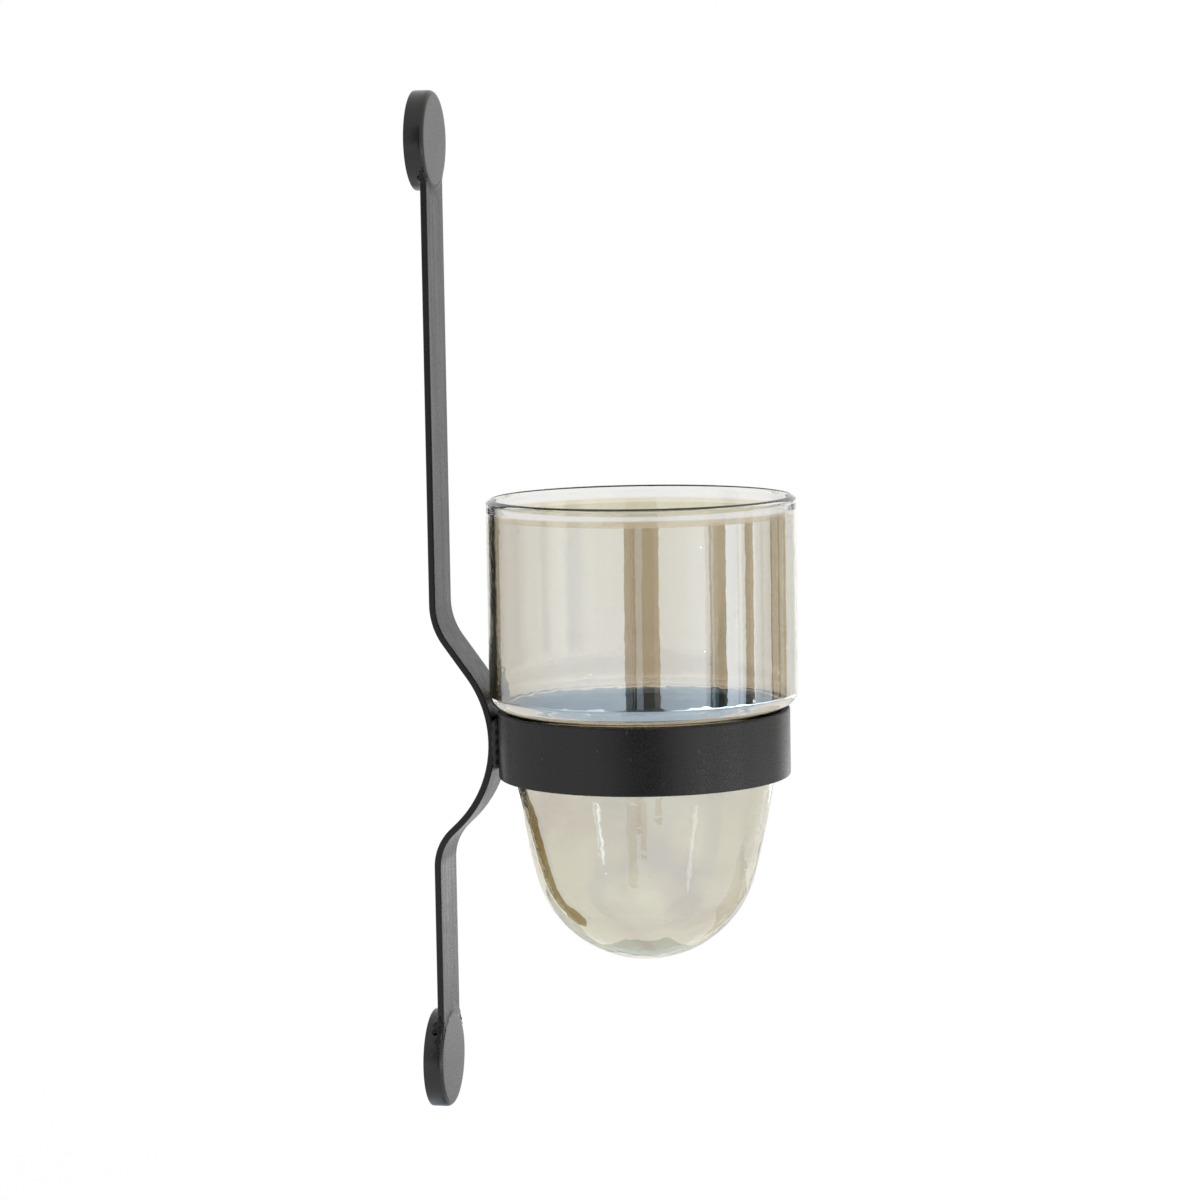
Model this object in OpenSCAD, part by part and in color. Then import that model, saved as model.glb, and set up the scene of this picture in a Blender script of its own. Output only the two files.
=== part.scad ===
// Wall tealight holder.
// A flat bar between two round wall caps bows forward to a ring, and a blown glass
// cup stands in the ring on its shoulder.
// Millimetres. +Z is up, the wall is the plane Y = 0 and the front faces -Y.
// The origin is the centre of the top cap's keyhole, in the plane of the wall.

/* [Bar] */
// Distance between the centres of the two wall caps
cap_spacing = 280; // [265:1:320]
// Width of the flat bar
bar_w = 20; // [16:1:22]
// Thickness of the flat bar
bar_t = 2; // [1.5:0.1:2.3]
// Rounding of the flat bar's long edges
bar_edge_r = 0.4; // [0.2:0.05:0.6]
// Gap between the wall and the back of the bar's straight legs
bar_standoff = 3.6; // [2.8:0.1:3.8]

/* [Bow] */
// How far the bow comes forward of the straight legs
bow_depth = 17.5; // [16:0.5:24]
// Centreline radius of the front of the bow
bow_r = 35; // [28:1:40]
// Slope of the bow above the ring, from the vertical
bow_upper_slope = 36; // [30:1:44]
// Slope of the bow below the ring, from the vertical
bow_lower_slope = 46; // [38:1:49]
// Centreline radius of the bend from the upper leg into the bow
upper_bend_r = 20; // [12:1:30]
// Centreline radius of the bend from the bow into the lower leg
lower_bend_r = 15; // [10:1:20]

/* [Ring] */
// Outer diameter of the ring
ring_d = 88; // [80:1:92]
// Height of the ring's band
ring_h = 20; // [14:1:26]
// Thickness of the ring's band
ring_t = 2; // [1.5:0.1:3]
// Rounding of the band's edges
ring_edge_r = 0.4; // [0.2:0.05:0.6]
// Depth of the ring's middle below the centre of the top cap
ring_drop = 181; // [150:1:200]
// Width of the butt joint that closes the ring
ring_seam_w = 1; // [0.6:0.1:2]

/* [Wall caps] */
// Diameter of a cap
cap_d = 30; // [29:1:36]
// Thickness of a cap, from the wall to its front face
cap_t = 6; // [6:0.5:9]
// Rounding of a cap's front edge
cap_edge_r = 1; // [0.5:0.1:1.5]
// Thickness of a cap's front wall
cap_face_t = 1.2; // [1:0.1:1.5]
// Diameter of the hollow behind the front wall
cap_hollow_d = 23; // [22:0.5:24.5]

/* [Keyhole plates] */
// Diameter of the recess that the plate sits in
recess_d = 27; // [26:0.5:27.5]
// Thickness of the plate
plate_t = 1.2; // [1:0.1:1.5]
// Radial clearance of the plate in its recess
plate_clear = 0.1; // [0.05:0.05:0.2]
// Diameter of the keyhole's round entry
entry_d = 8; // [7.5:0.1:9]
// Width of the keyhole's slot
slot_w = 4.5; // [4.2:0.1:5]
// Height from the entry's centre to the centre of the slot's closed end
slot_rise = 7; // [6:0.5:8]

/* [Welds] */
// Gap left between two pieces before they are welded
fit_up = 0.1; // [0.05:0.05:0.3]
// Radius of the bead behind the bar at the top cap
top_weld_r = 0.9; // [0.7:0.1:1.3]
// Radius of the bead behind the bar at the bottom cap
bottom_weld_r = 1.3; // [1:0.1:1.6]
// Radius of the bead between the bow and the ring
ring_weld_r = 1.5; // [1.3:0.1:1.8]
// Length of that bead
ring_weld_l = 12; // [8:1:13]

/* [Glass cup] */
// How far the wide upper cylinder stands out past the ring
glass_overhang = 2.5; // [1.5:0.1:3]
// Thickness of the glass
glass_wall = 2.2; // [1.8:0.1:3]
// Height of the rim above the ring
rim_rise = 64; // [40:1:80]
// Depth of the dome's lowest point below the ring
dome_drop = 56; // [50:1:62]
// How much smaller the radius of the dome's round bottom is than the neck's
dome_taper = 7.3; // [6.5:0.1:9]
// Radius of the long arc from the neck down to the round bottom
side_r = 280; // [200:10:400]
// Radius of the shoulder's outer corner
shoulder_r = 4.5; // [3.5:0.5:6]
// Radius of the fillet between the shoulder and the neck
seat_r = 2.5; // [2:0.1:3]
// Radial clearance between the neck and the inside of the ring
neck_clear = 0.5; // [0.45:0.05:0.7]
// Clearance between the resting glass and the ring's inner edge
seat_gap = 0.3; // [0.2:0.05:0.4]

/* [Hidden] */
$fn = 96;

// Overlap that lets a cutting shape pass a face
cut = 1;
// Turn between neighbouring stations of a bend, in degrees
bend_step = 3;
// Gap that keeps a bead's faces off the pieces that it joins
weld_skin = 0.02;
// Radius of every second ripple of a bead, as a share of the others'
ripple = 0.82;

// Forward distances from the wall
leg_f = bar_standoff + bar_t / 2;
apex_f = leg_f + bow_depth;
ring_f = apex_f + bar_t / 2 + fit_up + ring_d / 2;

// Straight stretch between two bends, and the height that each half of the bow takes
function link_l(bend_r, slope) = (bow_depth - (bow_r + bend_r) * (1 - cos(slope))) / sin(slope);
function bow_run(bend_r, slope) = (bow_r + bend_r) * sin(slope) + link_l(bend_r, slope) * cos(slope);

// Centres of the three bends, as forward distance and height
bow_c = [apex_f - bow_r, -ring_drop];
upper_c = [leg_f + upper_bend_r, -ring_drop + bow_run(upper_bend_r, bow_upper_slope)];
lower_c = [leg_f + lower_bend_r, -ring_drop - bow_run(lower_bend_r, bow_lower_slope)];

ring_in_r = ring_d / 2 - ring_t;
glass_r = ring_d / 2 + glass_overhang;
neck_r = ring_in_r - neck_clear;
dome_r = neck_r - dome_taper;
ring_top_z = -ring_drop + ring_h / 2;

// Angle round a cap at which the bar's side meets its rim, from the bar's middle
side_angle = asin(bar_w / cap_d);

steel = [0.17, 0.17, 0.18];
tinted = [0.84, 0.8, 0.66, 0.5];

function heading(v) = atan2(v[1], v[0]);
function unit(v) = v / norm(v);

// Points of an arc of radius r about c, from angle a0 to a1
function arc(c, r, a0, a1, n) = [
    for (i = [0:n]) c + r * [cos(a0 + (a1 - a0) * i / n), sin(a0 + (a1 - a0) * i / n)]
];

// The meeting point, on the left of the line from c1 to c2, of two circles
function circles_meet(c1, r1, c2, r2) =
    let (
        d = norm(c2 - c1),
        along = (r1 * r1 - r2 * r2 + d * d) / (2 * d),
        aside = sqrt(r1 * r1 - along * along),
        u = unit(c2 - c1)
    )
    c1 + along * u + aside * [-u[1], u[0]];

// Centres of the glass outline's arcs, as radius and height above the ring.
// The fillet stays seat_gap clear of the rounded inner edge of the ring.
seat_c_r = neck_r + seat_r;
seat_reach = seat_r - seat_gap - ring_edge_r;
seat_offset = seat_r - neck_clear - ring_edge_r;
seat_c = [seat_c_r, -ring_edge_r - sqrt(seat_reach * seat_reach - seat_offset * seat_offset)];
shoulder_c_r = glass_r - shoulder_r;
shoulder_step = seat_c_r - shoulder_c_r;
shoulder_c = [
    shoulder_c_r,
    seat_c[1] + sqrt(pow(shoulder_r + seat_r, 2) - shoulder_step * shoulder_step)
];
dome_c = [0, -ring_h - dome_drop + dome_r];
side_c = circles_meet(dome_c, side_r - dome_r, seat_c, side_r + seat_r);

// The glass outline from the shoulder down to the axis, inset by the given depth
function glass_outline(inset) = concat(
    arc(shoulder_c, shoulder_r - inset, 0, heading(seat_c - shoulder_c), 10),
    arc(seat_c, seat_r + inset, heading(shoulder_c - seat_c), heading(side_c - seat_c), 10),
    arc(side_c, side_r - inset, heading(seat_c - side_c), heading(dome_c - side_c), 8),
    arc(dome_c, dome_r - inset, heading(dome_c - side_c), -90, 24)
);

function reversed(list) = [for (i = [len(list) - 1:-1:0]) list[i]];

// Stations of a bend about c, from normal angle a0 to a1: each a point and its normal's angle.
// The radius is negative where the centre lies in front of the bar.
function bend(c, r, a0, a1) =
    let (n = ceil(abs(a1 - a0) / bend_step))
    [for (i = [0:n]) let (a = a0 + (a1 - a0) * i / n) [c + r * [cos(a), sin(a)], a]];

// The bar's centreline, from one cap's centre to the other's
bar_path = concat(
    [[[leg_f, 0], 0]],
    bend(upper_c, -upper_bend_r, 0, bow_upper_slope),
    bend(bow_c, bow_r, bow_upper_slope, -bow_lower_slope),
    bend(lower_c, -lower_bend_r, -bow_lower_slope, 0),
    [[[leg_f, -cap_spacing], 0]]
);

// Outline of the bar's section: thickness along X, width along Y
section_x = bar_t / 2 - bar_edge_r;
section_y = bar_w / 2 - bar_edge_r;
bar_section = concat(
    arc([section_x, section_y], bar_edge_r, 0, 90, 3),
    arc([-section_x, section_y], bar_edge_r, 90, 180, 3),
    arc([-section_x, -section_y], bar_edge_r, 180, 270, 3),
    arc([section_x, -section_y], bar_edge_r, 270, 360, 3)
);

// Places a shape whose X is forward, Y is up and Z is the bar's width
module side_view() {
    rotate([90, 0, -90])
        children();
}

// Places a shape whose Z is forward at a cap's centre
module at_cap(z) {
    translate([0, 0, z])
        rotate([90, 0, 0])
            children();
}

module rounded_rect(w, h, r) {
    square([w - 2 * r, h], center = true);
    square([w, h - 2 * r], center = true);
    for (x = [-1, 1], y = [-1, 1])
        translate([x * (w / 2 - r), y * (h / 2 - r)])
            circle(r);
}

// The section carried along the bar's path, before its ends are cut to the caps
module bent_bar() {
    n = len(bar_section);
    last = len(bar_path) - 1;
    points = [
        for (station = bar_path, q = bar_section)
            let (p = station[0] + q[0] * [cos(station[1]), sin(station[1])])
            [p[0], p[1], q[1]]
    ];
    walls = [
        for (k = [0:last - 1], j = [0:n - 1])
            let (next = (j + 1) % n)
            [k * n + j, k * n + next, (k + 1) * n + next, (k + 1) * n + j]
    ];
    top = [for (j = [n - 1:-1:0]) j];
    foot = [for (j = [0:n - 1]) last * n + j];
    side_view()
        polyhedron(points, concat([top], walls, [foot]));
}

// The outline of a cap, grown by a gap, right through the bar
module cap_space(z, gap) {
    at_cap(z)
        cylinder(h = cap_t + cut, d = cap_d + 2 * gap);
}

module upright_bar() {
    color(steel)
        difference() {
            bent_bar();
            cap_space(0, fit_up);
            cap_space(-cap_spacing, fit_up);
        }
}

module cap_body() {
    rotate_extrude() {
        square([cap_d / 2 - cap_edge_r, cap_t]);
        square([cap_d / 2, cap_t - cap_edge_r]);
        translate([cap_d / 2 - cap_edge_r, cap_t - cap_edge_r])
            circle(cap_edge_r);
    }
}

// A hollow cap, with a stepped recess in its back for the plate
module cap(z) {
    color(steel)
        at_cap(z)
            difference() {
                cap_body();
                translate([0, 0, -cut])
                    cylinder(h = plate_t + cut, d = recess_d);
                translate([0, 0, -cut])
                    cylinder(h = cap_t - cap_face_t + cut, d = cap_hollow_d);
            }
}

module keyhole() {
    cylinder(h = plate_t + 2 * cut, d = entry_d);
    translate([0, slot_rise, 0])
        cylinder(h = plate_t + 2 * cut, d = slot_w);
    translate([-slot_w / 2, 0, 0])
        cube([slot_w, slot_rise, plate_t + 2 * cut]);
}

module keyhole_plate(z) {
    color(steel)
        at_cap(z)
            difference() {
                cylinder(h = plate_t, d = recess_d - 2 * plate_clear);
                translate([0, 0, -cut])
                    keyhole();
            }
}

// A rippled bead of radius r through a row of points
module bead(points, r) {
    radii = [for (i = [0:len(points) - 1]) i % 2 == 0 ? r : r * ripple];
    for (i = [0:len(points) - 2])
        hull() {
            translate(points[i])
                sphere(radii[i], $fn = 10);
            translate(points[i + 1])
                sphere(radii[i + 1], $fn = 10);
        }
}

// The bead in the corner behind the bar and round its narrow sides, below a cap
module cap_bead(r) {
    rim_r = cap_d / 2 + fit_up;
    count = 16;
    angles = [for (i = [0:count]) side_angle * (2 * i / count - 1)];
    corner = rim_r * [sin(side_angle), -cos(side_angle)];
    side_f = bar_standoff + bar_t;
    bead(concat(
        [[-corner[0], corner[1], side_f]],
        [for (a = angles) [rim_r * sin(a), -rim_r * cos(a), bar_standoff]],
        [[corner[0], corner[1], side_f]]
    ), r);
}

// The bead at the cap at height z; turn is 180 where the bar comes from above
module cap_weld(z, turn, r) {
    reach = 2 * cap_d;
    color(steel)
        difference() {
            at_cap(z)
                rotate([0, 0, turn])
                    cap_bead(r);
            cap_space(z, weld_skin);
            translate([-bar_w / 2 - weld_skin, -reach, z - cap_d])
                cube([bar_w + 2 * weld_skin, reach - bar_standoff + weld_skin, reach]);
            translate([-reach / 2, -reach, z - cap_d])
                cube([reach, reach - bar_standoff - bar_t, reach]);
        }
}

module at_ring() {
    translate([0, -ring_f, -ring_drop])
        children();
}

module ring_blank() {
    rotate_extrude()
        translate([(ring_d - ring_t) / 2, 0])
            rounded_rect(ring_t, ring_h, ring_edge_r);
}

// The space of the butt joint, at the back of the ring
module seam_space() {
    translate([-ring_seam_w / 2, 0, -ring_h / 2 - cut])
        cube([ring_seam_w, ring_d / 2 + cut, ring_h + 2 * cut]);
}

module ring_band() {
    color(steel)
        at_ring()
            difference() {
                ring_blank();
                seam_space();
            }
}

module ring_seam_weld() {
    color(steel)
        at_ring()
            intersection() {
                ring_blank();
                seam_space();
            }
}

// The bead between one edge of the bow and the ring; side is -1 or 1
module ring_weld(side) {
    x = side * bar_w / 2;
    bow_front_f = apex_f + bar_t / 2;
    ring_back_f = ring_f - sqrt(pow(ring_d / 2, 2) - x * x);
    bead_f = (bow_front_f + ring_back_f) / 2;
    count = 8;
    heights = [for (i = [0:count]) -ring_drop + ring_weld_l * (i / count - 0.5)];
    color(steel)
        difference() {
            bead([for (z = heights) [x, -bead_f, z]], ring_weld_r);
            side_view()
                translate([bow_c[0], bow_c[1], 0])
                    cylinder(
                        h = bar_w + 2 * weld_skin, r = bow_r + bar_t / 2 + weld_skin,
                        center = true, $fn = 180
                    );
            at_ring()
                cylinder(h = 2 * ring_h, r = ring_d / 2 + weld_skin, center = true, $fn = 180);
        }
}

module ring_weld_left() {
    ring_weld(-1);
}

module ring_weld_right() {
    ring_weld(1);
}

module glass_cup() {
    rim_r = glass_wall / 2;
    rim_c = [glass_r - rim_r, rim_rise - rim_r];
    color(tinted)
        translate([0, -ring_f, ring_top_z])
            rotate_extrude()
                polygon(concat(
                    arc(rim_c, rim_r, 0, 180, 10),
                    glass_outline(glass_wall),
                    reversed(glass_outline(0))
                ));
}

upright_bar();
cap(0);  // top_cap
keyhole_plate(0);  // top_keyhole_plate
cap_weld(0, 0, top_weld_r);  // top_cap_weld
cap(-cap_spacing);  // bottom_cap
keyhole_plate(-cap_spacing);  // bottom_keyhole_plate
cap_weld(-cap_spacing, 180, bottom_weld_r);  // bottom_cap_weld
ring_band();
ring_seam_weld();
ring_weld_left();
ring_weld_right();
glass_cup();
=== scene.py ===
"""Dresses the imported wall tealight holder: powder-coated steel, lustre glass and a pale stage."""

import math

import bmesh
import bpy
from bpy.props import FloatProperty, FloatVectorProperty, IntProperty, PointerProperty
from mathutils import Matrix, Vector, noise


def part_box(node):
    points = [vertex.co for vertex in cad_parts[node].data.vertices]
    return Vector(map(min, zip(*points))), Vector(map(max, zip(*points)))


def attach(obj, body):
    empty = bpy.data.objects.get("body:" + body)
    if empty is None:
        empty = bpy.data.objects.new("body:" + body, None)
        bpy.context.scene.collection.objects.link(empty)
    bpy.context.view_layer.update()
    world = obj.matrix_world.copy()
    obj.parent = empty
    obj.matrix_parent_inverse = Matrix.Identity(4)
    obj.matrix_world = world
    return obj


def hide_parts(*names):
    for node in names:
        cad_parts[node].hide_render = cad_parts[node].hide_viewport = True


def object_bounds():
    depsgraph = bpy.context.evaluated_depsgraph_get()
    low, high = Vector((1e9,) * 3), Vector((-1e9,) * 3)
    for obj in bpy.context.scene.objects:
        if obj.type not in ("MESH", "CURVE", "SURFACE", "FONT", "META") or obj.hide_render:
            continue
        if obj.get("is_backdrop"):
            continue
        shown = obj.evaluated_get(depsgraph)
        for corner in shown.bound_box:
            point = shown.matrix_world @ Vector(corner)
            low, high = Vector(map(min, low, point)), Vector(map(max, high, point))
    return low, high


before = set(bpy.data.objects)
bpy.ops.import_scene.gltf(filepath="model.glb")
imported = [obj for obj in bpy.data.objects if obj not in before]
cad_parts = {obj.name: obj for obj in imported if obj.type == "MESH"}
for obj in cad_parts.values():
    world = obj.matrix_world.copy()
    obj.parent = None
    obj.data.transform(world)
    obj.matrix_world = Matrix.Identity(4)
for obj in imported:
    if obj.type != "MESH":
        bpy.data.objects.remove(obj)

CAD_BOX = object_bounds()

bl_info = {
    "name": "Wall Tealight Holder Looks",
    "blender": (4, 5, 0),
    "version": (1, 0, 0),
    "location": "View3D > Sidebar > Holder",
    "description": "Coats the steel bracket, blows the lustre glass and sets the stage",
    "category": "Object",
}

MM = 0.001


# Shader maths


class Sock:
    """A shader socket that can be used in Python expressions."""

    def __init__(self, net, link):
        self.net, self.link = net, link

    def _math(self, operation, *values):
        return self.net.node("ShaderNodeMath", {"operation": operation}, *values)

    def __add__(self, other):
        return self._math("ADD", self, other)

    __radd__ = __add__

    def __mul__(self, other):
        return self._math("MULTIPLY", self, other)

    __rmul__ = __mul__

    def __sub__(self, other):
        return self._math("SUBTRACT", self, other)

    def __rsub__(self, other):
        return self._math("SUBTRACT", other, self)

    def __gt__(self, other):
        return self._math("GREATER_THAN", self, other)

    def __lt__(self, other):
        return self._math("LESS_THAN", self, other)


class Net:
    """Builds one material's or world's nodes."""

    def __init__(self, owner):
        owner.use_nodes = True
        self.tree = owner.node_tree
        self.tree.nodes.clear()

    def node(self, kind, settings=None, *values, out=0, **named):
        """Adds a node: settings first, then socket values by order or by name."""
        made = self.tree.nodes.new(kind)
        for key, value in (settings or {}).items():
            setattr(made, key, value)
        for i, value in enumerate(values):
            self.put(made.inputs[i], value)
        for key, value in named.items():
            self.put(self.find(made.inputs, key), value)
        return Sock(self, self.find(made.outputs, out)) if made.outputs else None

    def find(self, sockets, key):
        """A socket by its place in the list, or by its name with underscores for spaces."""
        if isinstance(key, int):
            return sockets[key]
        return next(s for s in sockets if s.name.replace(" ", "_") == key and s.enabled)

    def put(self, socket, value):
        """Links a socket, or sets its value."""
        if isinstance(value, Sock):
            self.tree.links.new(value.link, socket)
        elif value is not None:
            if socket.type == "RGBA" and len(value) == 3:
                value = (*value, 1)
            socket.default_value = value

    def mix(self, share, first, second):
        """Blends two colours."""
        return self.node(
            "ShaderNodeMix", {"data_type": "RGBA", "clamp_factor": True},
            out="Result", Factor=share, A=first, B=second,
        )

    def vector(self, operation, *values):
        return self.node("ShaderNodeVectorMath", {"operation": operation}, *values)

    def remap(self, value, low, high):
        """0 at low and 1 at high, with a smooth step between."""
        return self.node(
            "ShaderNodeMapRange", {"clamp": True, "interpolation_type": "SMOOTHSTEP"},
            value, low, high, 0.0, 1.0,
        )

    def noise(self, place, scale, detail=2.0, roughness=0.5, distortion=0.0):
        return self.node(
            "ShaderNodeTexNoise", {"noise_dimensions": "3D"},
            Vector=place, Scale=scale, Detail=detail, Roughness=roughness,
            Distortion=distortion,
        )

    def cells(self, place, scale):
        """The distance from the nearest of a field of scattered points."""
        return self.node(
            "ShaderNodeTexVoronoi", {"feature": "F1", "voronoi_dimensions": "3D"},
            out="Distance", Vector=place, Scale=scale,
        )

    def place(self):
        """The point on the part, in metres of the row frame."""
        return self.node("ShaderNodeTexCoord", out="Object")

    def reach(self, place, axis):
        """The distance from an upright axis."""
        away = self.vector("MULTIPLY", self.vector("SUBTRACT", place, axis), (1, 1, 0))
        return self.node("ShaderNodeVectorMath", {"operation": "LENGTH"}, away, out="Value")

    def stretch(self, place, tall):
        """Makes a texture change slower upwards where tall is less than 1, or else faster."""
        return self.vector("MULTIPLY", place, (1, 1, tall))

    def bump(self, height, depth, normal=None):
        return self.node(
            "ShaderNodeBump", None, Strength=1.0, Distance=depth, Height=height, Normal=normal
        )

    def glow(self, colour):
        """A shader that gives off a colour as it is."""
        return self.node("ShaderNodeEmission", None, Color=colour, Strength=1.0)

    def surface(self, shader):
        self.node("ShaderNodeOutputMaterial", None, Surface=shader)


def new_material(name):
    """A material without nodes, and the builder of its nodes."""
    material = bpy.data.materials.new(name)
    return material, Net(material)


def times(colour, shares):
    """A colour times another, part by part."""
    return tuple(part * share for part, share in zip(colour, shares))


def dress(node, material):
    """Gives a carried-over node its finish."""
    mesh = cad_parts[node].data
    mesh.materials.clear()
    mesh.materials.append(material)


# Settings


class CoatSettings(bpy.types.PropertyGroup):
    """The powder coat on the steel."""

    colour: FloatVectorProperty(
        name="Coat colour", description="Colour of the powder coat",
        subtype="COLOR", size=3, min=0, max=1, default=(0.0060, 0.0060, 0.0064),
    )
    roughness: FloatProperty(
        name="Roughness", description="How matt the coat is",
        subtype="FACTOR", min=0.05, max=1, default=0.31,
    )
    peel: FloatProperty(
        name="Peel size", description="Width of the coat's fine dimples",
        subtype="DISTANCE", unit="LENGTH", min=0.0001, max=0.003, default=0.0005,
    )
    peel_depth: FloatProperty(
        name="Peel depth", description="Depth of the coat's fine dimples",
        subtype="DISTANCE", unit="LENGTH", min=0, max=0.0002, default=0.000012,
    )
    cap_edge: FloatProperty(
        name="Cap edge", description="Rounding of a cap's front edge",
        subtype="DISTANCE", unit="LENGTH", min=0.0003, max=0.003, default=0.0016,
    )
    dents: FloatProperty(
        name="Cap dents", description="Depth of the dents in a cap's rim",
        subtype="DISTANCE", unit="LENGTH", min=0, max=0.0005, default=0.00008,
    )
    top_lumps: FloatProperty(
        name="Top weld lumps", description="Height of the lumps of the top cap's weld",
        subtype="DISTANCE", unit="LENGTH", min=0, max=0.001, default=0.00012,
    )
    foot_lumps: FloatProperty(
        name="Foot weld lumps", description="Height of the lumps of the bottom cap's weld",
        subtype="DISTANCE", unit="LENGTH", min=0, max=0.002, default=0.00014,
    )


class GlassSettings(bpy.types.PropertyGroup):
    """The lustre glass cup."""

    tint: FloatVectorProperty(
        name="Tint", description="Colour that light keeps on its way in through one wall",
        subtype="COLOR", size=3, min=0, max=1, default=(0.875, 0.82, 0.775),
    )
    smoke: FloatVectorProperty(
        name="Smoke", description="Colour that light keeps on its way out through the lustre",
        subtype="COLOR", size=3, min=0, max=1, default=(0.58, 0.60, 0.425),
    )
    pulled: FloatVectorProperty(
        name="Dome tint", description="Share of the tint that the dome keeps",
        subtype="COLOR", size=3, min=0, max=1.5, default=(0.87, 0.84, 0.62),
    )
    wall: FloatProperty(
        name="Wall", description="Thickness of the glass",
        subtype="DISTANCE", unit="LENGTH", min=0.001, max=0.004, default=0.0023,
    )
    film: FloatProperty(
        name="Lustre thickness", description="Thickness of the lustre film, in nanometres",
        min=0, max=600, default=30,
    )
    film_ior: FloatProperty(
        name="Lustre index", description="Refractive index of the lustre film",
        min=1, max=3, default=2.65,
    )
    bare: FloatProperty(
        name="Bare rim", description="Height of the clear band below the rim",
        subtype="DISTANCE", unit="LENGTH", min=0, max=0.02, default=0.0036,
    )
    turns: IntProperty(
        name="Stations", description="Stations round the glass",
        min=48, max=720, default=288,
    )


class StageSettings(bpy.types.PropertyGroup):
    """The floor, the lamps and the camera."""

    drop: FloatProperty(
        name="Floor drop", description="Height of the part above the floor",
        subtype="DISTANCE", unit="LENGTH", min=0, max=2, default=0.30,
    )
    distance: FloatProperty(
        name="Camera distance", description="Distance from the camera to the part's middle",
        subtype="DISTANCE", unit="LENGTH", min=0.3, max=5, default=1.14597,
    )
    azimuth: FloatProperty(
        name="Azimuth", description="Turn of the camera round the part, from straight in front",
        subtype="ANGLE", unit="ROTATION", default=math.radians(-78.1305),
    )
    elevation: FloatProperty(
        name="Elevation", description="Height of the camera above the horizon",
        subtype="ANGLE", unit="ROTATION", default=math.radians(6.2234),
    )
    roll: FloatProperty(
        name="Roll", description="Turn of the camera about its own axis",
        subtype="ANGLE", unit="ROTATION", default=math.radians(-0.9575),
    )
    lens: FloatProperty(
        name="Focal length", description="Focal length of the camera, in millimetres",
        min=20, max=300, default=114.15,
    )


# Forms


def arc(centre, radius, start, end, count):
    """Points of an arc as (radius, height) pairs, from angle start to end in radians."""
    return [
        (centre[0] + radius * math.cos(start + (end - start) * i / count),
         centre[1] + radius * math.sin(start + (end - start) * i / count))
        for i in range(count + 1)
    ]


def turned(name, outline, turns, place):
    """A closed mesh turned from an outline that starts and ends on the axis.

    place(radius, height, angle) gives the point in the row frame.
    """
    points = [place(*outline[0], 0.0)]
    for r, h in outline[1:-1]:
        points += [place(r, h, 2 * math.pi * k / turns) for k in range(turns)]
    points.append(place(*outline[-1], 0.0))
    faces, rings = [], len(outline) - 2
    for i in range(rings - 1):
        a, b = 1 + i * turns, 1 + (i + 1) * turns
        for k in range(turns):
            n = (k + 1) % turns
            faces.append((a + k, a + n, b + n, b + k))
    end = 1 + (rings - 1) * turns
    for k in range(turns):
        n = (k + 1) % turns
        faces.append((0, 1 + n, 1 + k))
        faces.append((end + k, end + n, len(points) - 1))
    mesh = bpy.data.meshes.new(name)
    mesh.from_pydata(points, [], faces)
    mesh.shade_smooth()
    return mesh


def stand_in(mesh, body, node):
    """Puts a mesh in a node's place and on the node's body, and hides the node."""
    made = bpy.data.objects.new(mesh.name, mesh)
    bpy.context.scene.collection.objects.link(made)
    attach(made, body)
    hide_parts(node)
    return made


# Steel and its coat


# How often each texture of the coat repeats in a metre
CLOUDS, FLECKS, STREAKS, DUST, SAND = 60, 1500, 420, 900, 2600
# How much slower the streaks change up the bar, and their depth against the peel's
STREAK_TALL, STREAK_DEPTH = 0.03, 1.5
# The noise that is pale, from its start to its full strength, and how pale that makes the coat
CLOUD_SPAN, CLOUD_PALE = (0.35, 0.65), (1.5, 1.5, 1.5)
SAND_SPAN, SAND_PALE = (0.50, 0.66), (2.2, 2.2, 2.2)
# The noise above which dust lies, how much it covers and its colour
DUST_RARE, DUST_SHARE, DUST_COLOUR = 0.85, 0.5, (0.10, 0.10, 0.10)
# How much each texture changes the coat's roughness
CLOUD_ROUGH, FLECK_ROUGH, SAND_ROUGH, STREAK_ROUGH = 0.10, 0.16, 0.45, 0.26
# The colour inside the ring, a pale warm painted light that stands in for light coming in through
# the glass, and how much rougher the thin coat is there
HOLLOW_PAINTED_LIGHT, HOLLOW_ROUGH = (0.045, 0.042, 0.036), 0.4


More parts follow.
